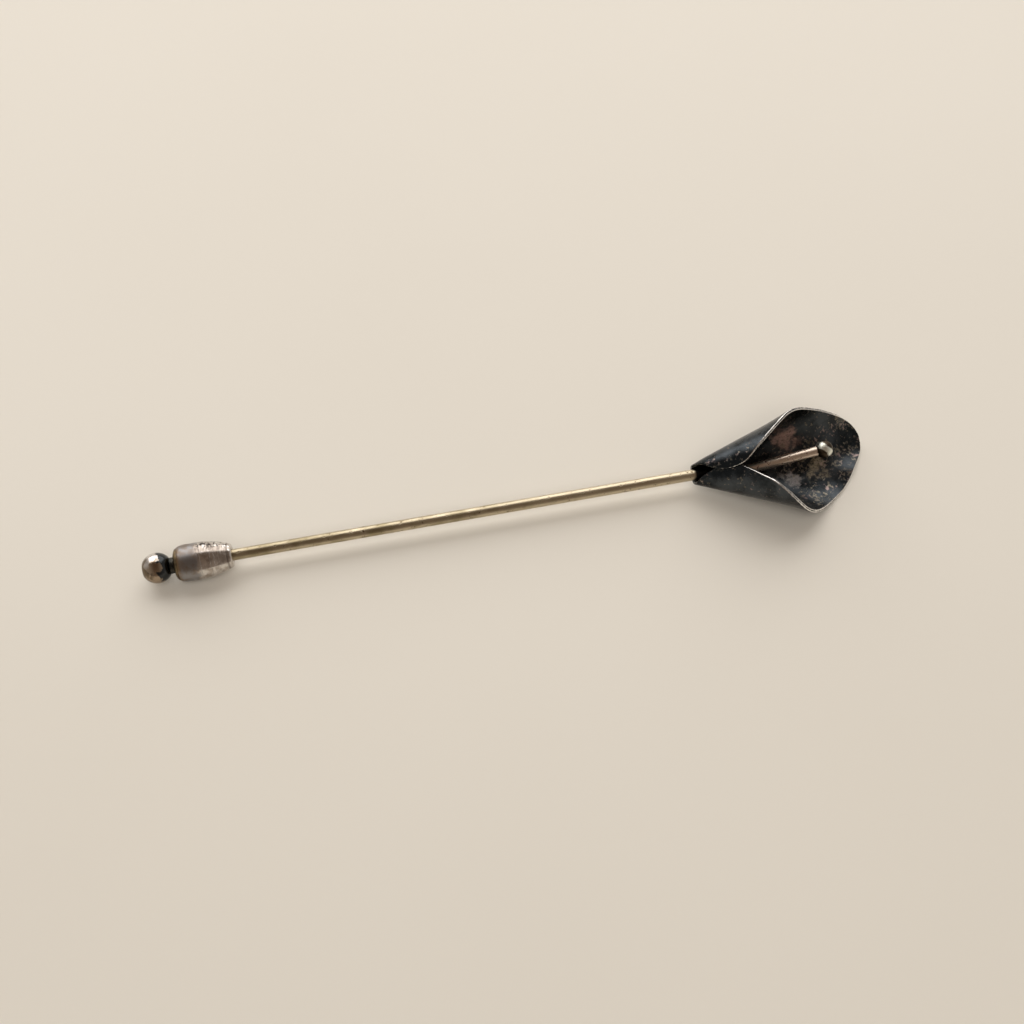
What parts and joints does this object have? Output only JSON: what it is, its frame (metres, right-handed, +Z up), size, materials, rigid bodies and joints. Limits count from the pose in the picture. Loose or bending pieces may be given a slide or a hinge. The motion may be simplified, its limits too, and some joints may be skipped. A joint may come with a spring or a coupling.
{
  "type": "hat pin",
  "caption": "Short hat or stick pin with a lapped calla lily flower head in blackened silver and a spring loaded ball-lock clutch that covers the point.",
  "frame": {"origin": "bottom centre of the whole object's box, with the pin lying on its side as on a table", "axes": "+X along the shank from the clutch towards the flower, +Z up, the flower's mouth turned up and towards -Y"},
  "size_m": [0.0696, 0.0096, 0.0075],
  "materials": {
    "oxidised_silver": "blackened silver sheet, glossy, mottled, bright worn rim",
    "nickel_silver": "drawn wire, polished, slightly tarnished",
    "rose_wire": "polished wire, rosy tarnish",
    "bright_silver": "mirror polished",
    "turned_steel": "fine turned, polished, light scratches",
    "aged_brass": "satin, brown tarnish",
    "dark_steel": "blackened, satin"
  },
  "bodies": {
    "pin": {"stem": "nickel_silver", "petal": "oxidised_silver", "petal_solder": "bright_silver", "spadix_wire": "rose_wire", "spadix_solder": "bright_silver", "spadix_bead": "bright_silver"},
    "clutch_spring": {"spring": "turned_steel"},
    "barrel": {"clutch_shell": "turned_steel", "nose_ring": "turned_steel", "taper_sleeve": "dark_steel", "rear_bush": "aged_brass"},
    "washer": {"thrust_washer": "aged_brass"},
    "plunger": {"ball_cage": "aged_brass", "grip_ball_1": "turned_steel", "grip_ball_2": "turned_steel", "grip_ball_3": "turned_steel", "plunger": "dark_steel", "knob": "bright_silver"}
  },
  "joints": [
    {"name": "clutch_slide", "type": "slide", "parent": "pin", "child": "clutch_spring", "axis": [-1, 0, 0], "range_m": [0, 0.015]},
    {"name": "clutch_turn", "type": "hinge", "parent": "clutch_spring", "child": "barrel", "pos_m": [-0.02661, 0.0018, 0.00175], "axis": [1, 0, 0], "continuous": true},
    {"name": "knob_pull", "type": "slide", "parent": "barrel", "child": "washer", "axis": [-1, 0, 0], "range_m": [0, 0.0007], "stiffness_N_per_m": 900, "springref_m": -0.0012, "deforming": ["spring"]},
    {"name": "knob_turn", "type": "hinge", "parent": "washer", "child": "plunger", "pos_m": [-0.03191, 0.0018, 0.00175], "axis": [1, 0, 0], "continuous": true}
  ]
}
